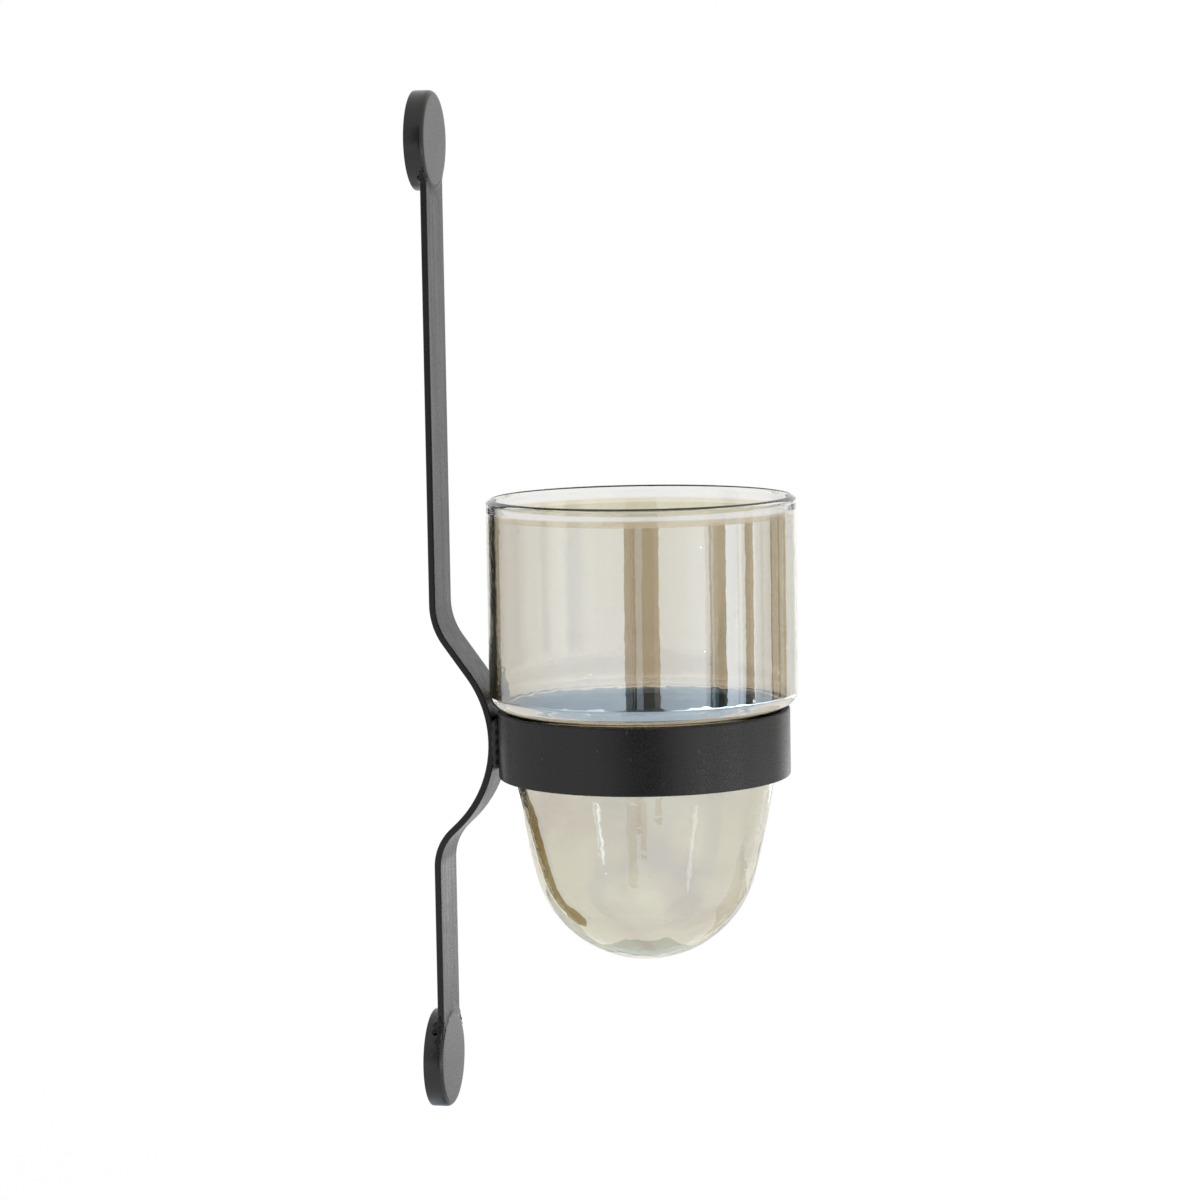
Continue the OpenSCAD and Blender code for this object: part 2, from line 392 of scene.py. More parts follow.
def powder_coat(name, grain=0.0, speckle=1.0, smooth=0.0, grit=0.5, index=1.4, hollow=None):
    """A matt powder coat; grain adds lengthwise streaks, speckle dust and lint, grit mottling.

    smooth takes roughness away, index sets how much the coat mirrors, and hollow is the upright
    axis and the radius inside which the coat is thin and dull, and paler with painted light.
    """
    coat = bpy.context.scene.holder_coat
    material, net = new_material(name)
    p = net.place()
    peel = net.noise(p, 1 / coat.peel, detail=3.0, roughness=0.55)
    cloud = net.noise(p, CLOUDS, detail=4.0, roughness=0.6)
    fleck = net.noise(p, FLECKS, detail=2.0, roughness=0.7)
    streak = net.noise(net.stretch(p, STREAK_TALL), STREAKS, detail=3.0, roughness=0.65)
    dust = net.noise(p, DUST, detail=0.0) > DUST_RARE
    sand = net.noise(p, SAND, detail=1.0, roughness=0.6)
    base = tuple(coat.colour)
    shade = net.mix(net.remap(cloud, *CLOUD_SPAN), base, times(base, CLOUD_PALE))
    shade = net.mix(dust * DUST_SHARE * speckle, shade, DUST_COLOUR)
    shade = net.mix(net.remap(sand, *SAND_SPAN) * grit, shade, times(base, SAND_PALE))
    rough = coat.roughness - smooth + (cloud - 0.5) * CLOUD_ROUGH + (fleck - 0.5) * FLECK_ROUGH
    rough = rough + (sand - 0.5) * SAND_ROUGH * grit
    if grain:
        rough = rough + (streak - 0.5) * STREAK_ROUGH * grain
    if hollow:
        axis, radius = hollow
        inside = net.reach(p, axis) < radius
        # Inside the ring the colour is painted light from the glass, and the thin coat is rougher
        shade = net.mix(inside, shade, HOLLOW_PAINTED_LIGHT)
        rough = rough + inside * HOLLOW_ROUGH
    normal = net.bump(peel, coat.peel_depth)
    if grain:
        normal = net.bump(streak, coat.peel_depth * STREAK_DEPTH * grain, normal=normal)
    shader = net.node(
        "ShaderNodeBsdfPrincipled", None, out="BSDF",
        Base_Color=shade, Roughness=rough, IOR=index, Normal=normal,
    )
    net.surface(shader)
    return material


class HOLDER_OT_coat_bracket(bpy.types.Operator):
    """Coats the bar and the plates"""

    bl_idname = "holder.coat_bracket"
    bl_label = "Coat the Bracket"

    def execute(self, context):
        dress("upright_bar", powder_coat("bar_powder_coat", grain=1.0, speckle=0.4, index=1.36))
        plate = powder_coat("plate_powder_coat", speckle=0.3)
        for node in ("top_keyhole_plate", "bottom_keyhole_plate"):
            dress(node, plate)
        return {"FINISHED"}


# A cap's hollow and the recess for its plate, as radii; its front wall, its plate and the
# rounding of its back edge
CAP_HOLLOW, CAP_RECESS = 11.5 * MM, 13.5 * MM
CAP_FACE, CAP_PLATE, CAP_BACK_EDGE = 1.2 * MM, 1.2 * MM, 0.3 * MM
CAP_TURNS, CAP_CREASE = 128, math.radians(35)
# How often the dents repeat in a metre
CAP_DENTS = 160


def cap_outline(radius, thick, edge):
    """The outline of a pressed cap, as (radius, forward) pairs, from its hollow to its face."""
    roof, flat, rings = thick - CAP_FACE, radius - edge, 8
    return (
        [(0.0, roof), (CAP_HOLLOW / 2, roof), (CAP_HOLLOW, roof), (CAP_HOLLOW, CAP_PLATE)]
        + [(CAP_RECESS, CAP_PLATE), (CAP_RECESS, 0.0)]
        + arc((radius - CAP_BACK_EDGE, CAP_BACK_EDGE), CAP_BACK_EDGE, -math.pi / 2, 0, 4)
        + arc((flat, thick - edge), edge, 0, math.pi / 2, 12)
        + [(flat * i / rings, thick) for i in range(rings - 1, -1, -1)]
    )


class HOLDER_OT_press_caps(bpy.types.Operator):
    """Presses the two wall caps, with a soft front edge and slight dents"""

    bl_idname = "holder.press_caps"
    bl_label = "Press the Caps"

    def execute(self, context):
        coat = context.scene.holder_coat
        paint = powder_coat("cap_powder_coat", speckle=0.5, smooth=0.04, index=1.46)
        for node in ("top_cap", "bottom_cap"):
            low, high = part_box(node)
            cx, cz = (low.x + high.x) / 2, (low.z + high.z) / 2
            radius, wall = (high.x - low.x) / 2, high.y

            def place(r, f, t, cx=cx, cz=cz, wall=wall):
                raw = Vector((cx + r * math.cos(t), wall - f, cz + r * math.sin(t)))
                dent = coat.dents * (0.5 + 0.5 * noise.noise(raw * CAP_DENTS)) * r / radius
                return cx + (r - dent) * math.cos(t), wall - f, cz + (r - dent) * math.sin(t)

            outline = cap_outline(radius, wall - low.y, coat.cap_edge)
            mesh = turned(node + "_pressed", outline, CAP_TURNS, place)
            mesh.set_sharp_from_angle(angle=CAP_CREASE)
            mesh.materials.append(paint)
            stand_in(mesh, "bracket", node)
        return {"FINISHED"}


# Depth of the coat's outer look into the band, so that its rounded edges keep it
RING_SKIN = 0.5 * MM


class HOLDER_OT_coat_ring(bpy.types.Operator):
    """Coats the ring's band: thinner and duller on its inside, with painted light there"""

    bl_idname = "holder.coat_ring"
    bl_label = "Coat the Ring"

    def execute(self, context):
        low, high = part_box("ring_band")
        axis = ((low.x + high.x) / 2, low.y + (high.x - low.x) / 2, 0)
        inside = (high.x - low.x) / 2 - RING_SKIN
        ring = powder_coat("ring_powder_coat", grit=1.0, index=1.37, hollow=(axis, inside))
        dress("ring_band", ring)
        return {"FINISHED"}


class HOLDER_OT_coat_welds(bpy.types.Operator):
    """Coats the ring's two weld beads and its seam"""

    bl_idname = "holder.coat_welds"
    bl_label = "Coat the Ring Welds"

    def execute(self, context):
        weld = powder_coat("ring_weld_powder_coat", speckle=0.3)
        for node in ("ring_seam_weld", "ring_weld_left", "ring_weld_right"):
            dress(node, weld)
        return {"FINISHED"}


def ball(shape, centre, radius):
    """Adds a drop of weld to a shape."""
    bmesh.ops.create_icosphere(
        shape, subdivisions=3, radius=radius, matrix=Matrix.Translation(centre)
    )


def smooth_step(low, high, value):
    """0 below low and 1 above high, with a smooth step between."""
    t = min(1.0, max(0.0, (value - low) / (high - low)))
    return t * t * (3 - 2 * t)


def fillet(shape, point, cap_r, cap_f, bar_f, half):
    """Adds the skin of weld that leads from the bar's face to the cap's.

    point(across, away, forward) gives a point in the row frame, cap_r and cap_f are the cap's
    radius and thickness, bar_f is the bar's face and half is half of the bar's width. The skin
    lies as far onto the cap as onto the bar. Its borders sink into both, and it droops at the
    bar's sides.
    """
    reach, columns, rows, deep = 2.8 * MM, 60, 28, 1.7 * MM
    past, proud, sink, droop = 0.25 * MM, 0.05 * MM, 0.35 * MM, 0.9 * MM
    slope_start, slope_end = -1.8 * MM, 0.8 * MM
    droop_start, droop_end = half - 0.6 * MM, half + 0.5 * MM
    tops, feet = [], []
    for i in range(columns + 1):
        u = (half + past) * (2 * i / columns - 1)
        for j in range(rows + 1):
            s = reach * (2 * j / rows - 1)
            away = math.sqrt((cap_r + s) ** 2 - u * u)
            f = bar_f + (cap_f - bar_f) * (1 - smooth_step(slope_start, slope_end, s))
            f += proud - sink * abs(s / reach) ** 4
            f -= droop * smooth_step(droop_start, droop_end, abs(u))
            tops.append(shape.verts.new(point(u, away, f)))
            feet.append(shape.verts.new(point(u, away, bar_f - deep)))
    line = rows + 1

    def quad(a, b, c, d):
        shape.faces.new((a, b, c, d))

    for i in range(columns):
        for j in range(rows):
            k = i * line + j
            quad(tops[k], tops[k + line], tops[k + line + 1], tops[k + 1])
            quad(feet[k], feet[k + 1], feet[k + line + 1], feet[k + line])
    for i in range(columns):
        for k, flip in ((i * line, False), (i * line + rows, True)):
            four = (tops[k], feet[k], feet[k + line], tops[k + line])
            quad(*(reversed(four) if flip else four))
    for j in range(rows):
        for k, flip in ((j, True), (columns * line + j, False)):
            four = (tops[k], feet[k], feet[k + 1], tops[k + 1])
            quad(*(reversed(four) if flip else four))


# Drops of weld on the bar's narrow sides: degrees round the rim from the bar's side, then
# distance out of the rim, forward place and radius in millimetres
TOP_DROPS = (
    (0, 0.0, 3.8, 0.9), (-1, 0.3, 4.3, 0.9), (0, 0.0, 4.8, 0.85), (3, -0.2, 4.4, 0.8),
    (6, -0.4, 4.6, 0.8), (9, -0.5, 4.5, 0.7),
)
FOOT_DROPS = (
    (-7, 2.0, 4.4, 0.95), (-3, 1.0, 4.6, 1.35), (1, 0.7, 4.6, 1.5), (6, 0.4, 4.8, 1.2),
    (-2, 0.8, 3.2, 1.25), (5, 0.4, 3.0, 1.1), (13, 0.7, 4.6, 1.0), (17, 0.2, 3.8, 0.8),
    (18, 0.1, 4.8, 0.8), (23, -0.1, 4.6, 0.7),
)


BAR_THICK = 2 * MM
# Radius of the bead behind the bar, how far it lies out of the cap's rim, and its steps
TOP_BEAD, FOOT_BEAD, BEAD_OUT, BEAD_STEPS = 0.81 * MM, 1.125 * MM, 0.15 * MM, 32
# How fine the drops melt into each other, and the width of the lumps on them
MELT, LUMP = 0.2 * MM, 1.6 * MM


def drip(shape, point, side, rim, bar_front, drops):
    """Adds the drops on both sides of the bar, whose sides lie at the angle side on the rim."""
    for sign in (-1, 1):
        for turn, out, forward, size in drops:
            a, r = side + math.radians(turn), rim + out * MM
            f = min(forward * MM, bar_front - size * MM) if sign > 0 else forward * MM
            ball(shape, point(sign * r * math.sin(a), r * math.cos(a), f), size * MM)


def melt(made, node, lumps):
    """Runs the parts of a node's weld together into one lumpy skin."""
    run = made.modifiers.new("melt", "REMESH")
    run.mode, run.voxel_size, run.use_smooth_shade = "VOXEL", MELT, True
    flow = made.modifiers.new("flow", "SMOOTH")
    flow.factor, flow.iterations = 0.5, 2
    cloud = bpy.data.textures.new(node + "_lumps", "CLOUDS")
    cloud.noise_scale, cloud.noise_depth = LUMP, 1
    rough = made.modifiers.new("lumps", "DISPLACE")
    rough.texture, rough.texture_coords = cloud, "LOCAL"
    rough.strength, rough.mid_level = lumps, 0.5


class HOLDER_OT_lay_cap_welds(bpy.types.Operator):
    """Lays the welds between the bar and the caps: neat at the top, lumpy at the foot"""

    bl_idname = "holder.lay_cap_welds"
    bl_label = "Lay the Cap Welds"

    def execute(self, context):
        coat = context.scene.holder_coat
        paint = powder_coat("weld_powder_coat", speckle=0.3, grit=0.0, index=1.3)
        bar_low, bar_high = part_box("upright_bar")
        half = (bar_high.x - bar_low.x) / 2
        bar_back, bar_front = -bar_high.y, -bar_high.y + BAR_THICK
        for node, way, bead, lumps, drops in (
            ("top_cap", -1, TOP_BEAD, coat.top_lumps, TOP_DROPS),
            ("bottom_cap", 1, FOOT_BEAD, coat.foot_lumps, FOOT_DROPS),
        ):
            low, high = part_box(node)
            centre = (low + high) / 2
            cap_r, cap_f = (high.x - low.x) / 2, high.y - low.y

            def point(across, away, forward, centre=centre, way=way):
                return Vector((centre.x + across, -forward, centre.z + way * away))

            shape = bmesh.new()
            fillet(shape, point, cap_r, cap_f, bar_front, half)
            side = math.asin(half / cap_r)
            rim = cap_r + BEAD_OUT
            for i in range(BEAD_STEPS + 1):
                a = side * (2 * i / BEAD_STEPS - 1)
                ball(shape, point(rim * math.sin(a), rim * math.cos(a), bar_back), bead)
            drip(shape, point, side, rim, bar_front, drops)
            bmesh.ops.recalc_face_normals(shape, faces=shape.faces)
            weld = node + "_weld"
            mesh = bpy.data.meshes.new(weld + "_run")
            shape.to_mesh(mesh)
            shape.free()
            mesh.materials.append(paint)
            melt(stand_in(mesh, "bracket", weld), weld, lumps)
        return {"FINISHED"}


# Glass


# How often each unevenness of the glass repeats in a metre round it, and how much more or less
# often it does so upwards
WAVES, RIPPLES, CRINKLES = 130, 240, 700
WAVE_TALL, RIPPLE_TALL, CRINKLE_TALL = 0.25, 1.7, 0.6
# Depth of the waves, the shares of it that the others have, and how much is added in the dome
WAVE_DEPTH, RIPPLE_SHARE, CRINKLE_SHARE, DOME_UNEVEN = 0.04 * MM, 0.6, 0.08, 1.4
# Blisters in a metre and their width against their spacing; the patches that have any, and the
# noise that makes a patch, from its edge to its middle
BLISTERS, BLISTER_SIZE, BLISTER_DEPTH = 150, 0.10, 0.09 * MM
PATCHES, PATCH_SPAN = 60, (0.56, 0.62)
# Smudges in a metre, their noise from edge to middle, how much they cover and their tint
SMUDGES, SMUDGE_SPAN, SMUDGE_SHARE, SMUDGE = 42, (0.47, 0.62), 0.8, (0.74, 0.62, 0.42)
GLASS_INDEX = 1.47
# How far below the ring the tint has turned into the dome's
TINT_FALL = 10 * MM


def lustre_glass(name, film, tint, smoke=None):
    """Glass with a tint, a thin lustre film and a darker tint for light that leaves through it.

    The tint turns yellower from the ring's top down, and the dome is wavier and smudged.
    """
    glass = bpy.context.scene.holder_glass
    material, net = new_material(name)
    p = net.place()
    wave = net.noise(net.stretch(p, WAVE_TALL), WAVES, detail=2.0)
    ripple = net.noise(net.stretch(p, RIPPLE_TALL), RIPPLES, detail=1.0)
    crinkle = net.noise(net.stretch(p, CRINKLE_TALL), CRINKLES, detail=1.0)
    height = net.node("ShaderNodeSeparateXYZ", None, p, out="Z")
    ring_low, ring_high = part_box("ring_band")
    low = net.remap(height, ring_high.z, ring_low.z - TINT_FALL)
    uneven = wave + ripple * RIPPLE_SHARE + crinkle * CRINKLE_SHARE
    normal = net.bump(uneven * (1 + low * DOME_UNEVEN), WAVE_DEPTH)
    blister = net.remap(net.cells(p, BLISTERS), BLISTER_SIZE, 0.0)
    patch = net.remap(net.noise(p, PATCHES, detail=0.0), *PATCH_SPAN)
    normal = net.bump(blister * patch, BLISTER_DEPTH, normal=normal)
    colour = net.mix(low, tint, times(tint, glass.pulled))
    smudge = net.remap(net.noise(p, SMUDGES, detail=3.0, distortion=0.6), *SMUDGE_SPAN) * low
    colour = net.mix(smudge * SMUDGE_SHARE, colour, times(tint, SMUDGE))
    if smoke:
        leaving = net.node("ShaderNodeNewGeometry", out="Backfacing")
        colour = net.mix(leaving, colour, smoke)
    shader = net.node(
        "ShaderNodeBsdfPrincipled", {"distribution": "MULTI_GGX"}, out="BSDF",
        Base_Color=colour, Roughness=0.0, IOR=GLASS_INDEX, Transmission_Weight=1.0, Normal=normal,
        Thin_Film_Thickness=film, Thin_Film_IOR=glass.film_ior,
    )
    net.surface(shader)
    return material


def heading(a, b):
    """The angle of the line from a to b."""
    return math.atan2(b[1] - a[1], b[0] - a[0])


def circles_meet(c1, r1, c2, r2):
    """The meeting point of two circles on the left of the line from c1 to c2."""
    d = math.dist(c1, c2)
    along = (r1 * r1 - r2 * r2 + d * d) / (2 * d)
    aside = math.sqrt(r1 * r1 - along * along)
    ux, uy = (c2[0] - c1[0]) / d, (c2[1] - c1[1]) / d
    return c1[0] + along * ux - aside * uy, c1[1] + along * uy + aside * ux


# How far the neck stands in from the cylinder, and the dome's round bottom from the neck
NECK_IN, DOME_IN = 5 * MM, 7.3 * MM
# Radii of the shoulder's outer corner, of the fillet under it and of the arc down to the dome
SHOULDER_CORNER, SEAT, FLANK = 4.5 * MM, 2.5 * MM, 280 * MM
# The ring's rounded inner edge, and the clearances of the fillet and of the neck from it
RING_EDGE, SEAT_GAP, NECK_GAP = 0.4 * MM, 0.3 * MM, 0.5 * MM
# The inside's own corner and fillet at the shoulder, and how much lower the fillet lies
INNER_CORNER, INNER_SEAT, INNER_DROP = 3.2 * MM, 3.4 * MM, 0.55 * MM
# The lip's height, the swelling inside it and the share of the wall that is left at its top
LIP, LIP_SWELL, LIP_THIN = 4.4 * MM, 0.7 * MM, 0.8
# The shares of the lip's height below which the swelling is full, and below which it fades
SWELL_FULL, SWELL_FADE = 0.35, 0.3
# The rounding of the lip's edges, and how much lower the outer one is
LIP_CORNER, LIP_FALL = 0.25 * MM, 0.9 * MM
# Steps of each stretch of the outline
EDGE_STEPS, LIP_STEPS, WALL_STEPS, CORNER_STEPS, FLANK_STEPS, DOME_STEPS = 7, 24, 40, 14, 26, 40


def glass_profile(radius, rise, drop, wall):
    """The glass's closed outline about the ring's top, and how many of its points are outside.

    It runs from the dome's foot up the outside, over the lip and down the inside.
    """
    neck = radius - NECK_IN
    reach, offset = SEAT - SEAT_GAP - RING_EDGE, SEAT - NECK_GAP - RING_EDGE
    seat_h = -RING_EDGE - math.sqrt(reach ** 2 - offset ** 2)
    dome_r = neck - DOME_IN
    dome = (0.0, -drop + dome_r)

    def skin(wide, narrow, corner, foot, foot_h, side, bowl):
        """One side of the glass, from the shoulder down to the axis, as four tangent arcs."""
        seat = (narrow + foot, foot_h)
        step = seat[0] - (wide - corner)
        shoulder = (wide - corner, foot_h + math.sqrt((corner + foot) ** 2 - step ** 2))
        flank = circles_meet(dome, side - bowl, seat, side + foot)
        return (
            arc(shoulder, corner, 0, heading(shoulder, seat), CORNER_STEPS)
            + arc(seat, foot, heading(seat, shoulder), heading(seat, flank), CORNER_STEPS)[1:]
            + arc(flank, side, heading(flank, seat), heading(flank, dome), FLANK_STEPS)[1:]
            + arc(dome, bowl, heading(flank, dome), -math.pi / 2, DOME_STEPS)[1:]
        )

    outer = skin(radius, neck, SHOULDER_CORNER, SEAT, seat_h, FLANK, dome_r)
    inner = skin(
        radius - wall, neck - wall, INNER_CORNER, INNER_SEAT, seat_h - INNER_DROP,
        FLANK - wall, dome_r - wall,
    )
    thin, corner = wall * LIP_THIN, LIP_CORNER
    lean = math.atan2(thin - 2 * corner, LIP_FALL)
    edge_out = arc((radius - corner, rise - corner - LIP_FALL), corner, 0, lean, EDGE_STEPS)
    edge_in = arc((radius - thin + corner, rise - corner), corner, lean, math.pi, EDGE_STEPS)

    def straight(x, low, high, count):
        return [(x, low + (high - low) * i / count) for i in range(1, count)]

    def swell(x, h):
        """Moves a point of the inside in, where the lip swells."""
        part = min(1.0, (rise - h) / LIP)
        thinner = wall * (1 - LIP_THIN) * (1 - smooth_step(0.0, 1.0, part))
        bead = LIP_SWELL * smooth_step(0.0, SWELL_FULL, part)
        bead *= 1 - smooth_step(SWELL_FADE, 1.0, part)
        return max(x, radius - wall + thinner) - bead, h

    up = straight(radius, outer[0][1], edge_out[0][1], WALL_STEPS)
    outside = outer[::-1] + up + edge_out
    down = straight(radius - wall, edge_in[-1][1], rise - LIP, LIP_STEPS)
    down += straight(radius - wall, rise - LIP, inner[0][1], WALL_STEPS)
    return outside + edge_in + [swell(x, h) for x, h in down] + inner, len(outside)


# How far blown glass sinks in at most, and the radius within which it does so less and less
SINK, CALM_REACH = 0.12 * MM, 12 * MM
# How often its slow and quick waves repeat in a metre, and where the slow ones start
SLOW, QUICK, SLOW_START = Vector((28, 28, 9)), Vector((90, 90, 22)), Vector((3, 7, 1))


def blown(place):
    """How far blown glass sinks in from its true form."""
    slow = noise.noise(place * SLOW + SLOW_START)
    quick = noise.noise(place * QUICK)
    return SINK * (0.5 + 0.4 * slow + 0.12 * quick)


# The glass's finishes in the order of its material slots
OUTSIDE, INSIDE, BARE_LIP, LUSTRE_EDGE, DOME_INSIDE = range(5)
# Height over which the lustre fades below the bare lip, and the lustre's share there and inside
LUSTRE_FADE, EDGE_LUSTRE, INNER_LUSTRE = 1.4 * MM, 0.55, 0.65
CLEAR = (0.87, 0.865, 0.855)


def glass_finishes(glass):
    """The materials of the glass in slot order."""
    tint, smoke, film = tuple(glass.tint), tuple(glass.smoke), glass.film
    faint = tuple((a + b) / 2 for a, b in zip(smoke, tint))
    return (
        lustre_glass("lustre_outside", film, tint, smoke),
        lustre_glass("plain_inside", film * INNER_LUSTRE, tint),
        lustre_glass("clear_rim", 0, CLEAR),
        lustre_glass("lustre_edge", film * EDGE_LUSTRE, tint, faint),
        lustre_glass("dome_inside", 0, tint),
    )


def finish_of(inner, depth, below_ring, bare):
    """The slot for a face, by its side of the wall and its depth below the rim."""
    if depth < bare:
        return BARE_LIP
    if not inner:
        return LUSTRE_EDGE if depth < bare + LUSTRE_FADE else OUTSIDE
    return DOME_INSIDE if below_ring else INSIDE


class HOLDER_OT_blow_glass(bpy.types.Operator):
    """Turns the glass cup on its axis, with the slight waves of blown glass"""

    bl_idname = "holder.blow_glass"
    bl_label = "Blow the Glass"

    def execute(self, context):
        glass = context.scene.holder_glass
        low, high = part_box("glass_cup")
        ring_low, ring_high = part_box("ring_band")
        cx, cy = (low.x + high.x) / 2, (low.y + high.y) / 2
        top = ring_high.z
        radius = (high.x - low.x) / 2
        outline, outside = glass_profile(radius, high.z - top, top - low.z, glass.wall)
        turns = glass.turns

        def place(r, h, t):
            raw = Vector((cx + r * math.cos(t), cy + r * math.sin(t), top + h))
            sink = blown(raw) * min(1.0, r / CALM_REACH)
            return cx + (r - sink) * math.cos(t), cy + (r - sink) * math.sin(t), raw.z

        mesh = turned("glass_blown", outline, turns, place)
        for finish in glass_finishes(glass):
            mesh.materials.append(finish)
        # Faces run up the outside and down the inside, and the fans at the axis come by turns
        outer_faces, skin_faces = (outside - 2) * turns, (len(outline) - 3) * turns
        for face in mesh.polygons:
            inner = face.index >= outer_faces if face.index < skin_faces else face.index % 2
            z = face.center.z
            face.material_index = finish_of(inner, high.z - z, z < ring_low.z, glass.bare)
        stand_in(mesh, "glass", "glass_cup")
        return {"FINISHED"}


# Stage


# Each lamp's name, place in metres, width and watts
LAMPS = (
    ("key_lamp", (-1.1, -1.2, 1.0), 1.2, 14),
    ("fill_lamp", (1.4, -0.9, 0.4), 1.2, 7),
    ("top_lamp", (0.1, 0.5, 1.5), 1.4, 9),
)


def hang_lamp(name, place, target, width, power):
    """Hangs a soft square lamp that shines on the part and isn't seen in it."""
    light = bpy.data.lights.new(name, "AREA")
    light.shape = "RECTANGLE"
    light.size = light.size_y = width
    light.energy = power
    made = bpy.data.objects.new(name, light)
    made.location = place
    made.rotation_mode = "QUATERNION"
    made.rotation_quaternion = (Vector(target) - Vector(place)).to_track_quat("-Z", "Y")
    made.visible_camera = made.visible_glossy = made.visible_transmission = False
    bpy.context.scene.collection.objects.link(made)


def plain_mesh(name, points, faces, material):
    """Adds a mesh to the stage."""
    mesh = bpy.data.meshes.new(name)
    mesh.from_pydata(points, [], faces)
    mesh.materials.append(material)
    made = bpy.data.objects.new(name, mesh)
    bpy.context.scene.collection.objects.link(made)
    made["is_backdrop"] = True
    return made


def reflection_only(made, through):
    """Hides a piece of the stage from all but mirror rays and, if through, rays through glass."""
    made.visible_camera = made.visible_diffuse = made.visible_shadow = False
    made.visible_transmission = through


def seen_white(net):
    """1 for rays that show the background: straight, mirrored or through glass."""
    kinds = ("Is_Camera_Ray", "Is_Glossy_Ray", "Is_Transmission_Ray")
    total = sum((net.node("ShaderNodeLightPath", out=kind) for kind in kinds), 0.0)
    return net.node("ShaderNodeMath", {"operation": "MINIMUM"}, total, 1.0)


BLACK, DARK, DIM, GREY, PALE = 0.02, 0.13, 0.32, 0.45, 0.78
WARM, NEUTRAL, COOL = (1.0, 0.75, 0.4), (1.0, 1.0, 1.0), (0.75, 1.0, 1.05)
# Tall cards round the part: from and to, in degrees to the right of the camera, the tone at each
# of the two, and the hue
CARDS = (
    (-158.0, -131.0, BLACK, BLACK, WARM),
    (-131.0, -100.0, 0.55, 0.78, NEUTRAL),
    (-100.0, -62.0, 0.80, 1.00, NEUTRAL),
    (-13.4, -8.4, DARK, DARK, NEUTRAL),
    (-8.4, -7.6, BLACK, BLACK, WARM),
    (-7.6, -6.8, DARK, DARK, NEUTRAL),
    (-6.8, -5.2, BLACK, BLACK, WARM),
    (-5.2, -0.2, DIM, DIM, NEUTRAL),
    (-0.2, 8.0, 0.03, 0.05, WARM),
    (8.0, 11.8, 0.16, 0.18, WARM),
    (11.8, 46.0, 0.82, 1.12, NEUTRAL),
    (46.0, 49.5, 0.86, 0.74, NEUTRAL),
    (49.5, 51.3, DARK, DARK, COOL),
    (51.3, 53.0, GREY, DIM, COOL),
    (53.0, 56.0, DARK, DARK, COOL),
    (56.0, 63.4, BLACK, BLACK, COOL),
    (63.4, 73.0, 1.32, 1.32, NEUTRAL),
    (73.0, 74.6, 0.98, 0.98, NEUTRAL),
    (74.6, 77.5, 1.24, 1.18, NEUTRAL),
    (77.5, 80.4, 0.98, 0.90, NEUTRAL),
    (80.4, 88.6, BLACK, 0.05, COOL),
    (88.6, 90.4, 1.20, 1.20, NEUTRAL),
    (90.4, 97.0, 0.98, PALE, NEUTRAL),
    (97.0, 99.5, 0.64, 0.66, NEUTRAL),
    (99.5, 108.4, PALE, 0.84, NEUTRAL),
    (108.4, 110.4, BLACK, BLACK, WARM),
    (110.4, 118.6, DIM, GREY, WARM),
    (118.6, 121.4, BLACK, DARK, WARM),
    (121.4, 127.0, GREY, GREY, WARM),
    (127.0, 131.6, DARK, DARK, WARM),
    (131.6, 142.0, 0.80, 0.92, NEUTRAL),
    (142.0, 156.0, 0.80, 0.80, NEUTRAL),
    (156.0, 168.0, 1.20, 1.20, NEUTRAL),
)
# The same, for the tall softboxes above the cards
SOFTBOXES = (
    (-150.0, -65.0, 1.0, 1.0, NEUTRAL),
    (-30.0, 20.0, 0.15, 0.15, NEUTRAL),
    (69.0, 110.0, 1.1, 1.1, NEUTRAL),
    (110.0, 210.0, 1.0, 1.0, NEUTRAL),
)
# The same, for the low lights that stand before the cards
FLOOR_LIGHTS = (
    (-168.0, -142.0, 2.4, 1.4, NEUTRAL),
    (-142.0, -110.0, 0.35, 0.35, NEUTRAL),
    (-110.0, -62.0, 0.4, 1.7, NEUTRAL),
    (-62.0, -30.0, 2.0, 2.0, NEUTRAL),
    (-30.0, -12.0, 1.4, 0.2, NEUTRAL),
    (-12.0, 14.0, 0.1, 0.1, NEUTRAL),
    (14.0, 42.0, 0.2, 5.2, NEUTRAL),
    (42.0, 85.0, 6.4, 5.4, NEUTRAL),
    (85.0, 130.0, 3.6, 1.2, NEUTRAL),
    (130.0, 146.0, 1.9, 1.8, NEUTRAL),
    (146.0, 158.0, 2.5, 2.5, NEUTRAL),
)
# The same, for the small cards near the part that edge its dome, some with their own bottom edge
REFLECTORS = (
    (-172.0, -140.0, 0.7, 0.5, COOL),
    (-48.5, -46.5, 1.0, 1.5, NEUTRAL, -0.44),
    (-46.5, -45.0, 1.5, 1.0, NEUTRAL, -0.44),
    (-45.0, -42.5, 1.0, 2.1, NEUTRAL, -0.465),
    (-42.5, -40.5, 2.1, 1.1, NEUTRAL, -0.45),
    (-17.0, -9.0, 0.92, 0.90, WARM, -0.52),
    (-9.0, -3.0, 0.84, 0.80, WARM, -0.42),
    (-3.0, 2.0, 0.90, 0.92, WARM, -0.46),
    (9.0, 16.0, 0.90, 0.84, WARM, -0.405),
    (42.0, 46.5, 1.0, 1.5, NEUTRAL, -0.50),
    (46.5, 50.0, 1.5, 1.0, NEUTRAL, -0.52),
    (104.0, 148.0, 0.95, 0.5, NEUTRAL),
    (148.0, 172.0, 0.9, 0.9, NEUTRAL),
)
# Distances of each kind of card from the part's middle, and heights of their edges
CARD_REACH, FLOOR_LIGHT_REACH, REFLECTOR_REACH = 1.8, 1.75, 0.4
CARD_LOW, CARD_HIGH, SOFTBOX_HIGH = -1.2, -0.17, 1.0
FLOOR_LIGHT_HIGH, REFLECTOR_HIGH = -0.46, -0.37
# Degrees between a card's upright edges at most
CARD_STEP = 6
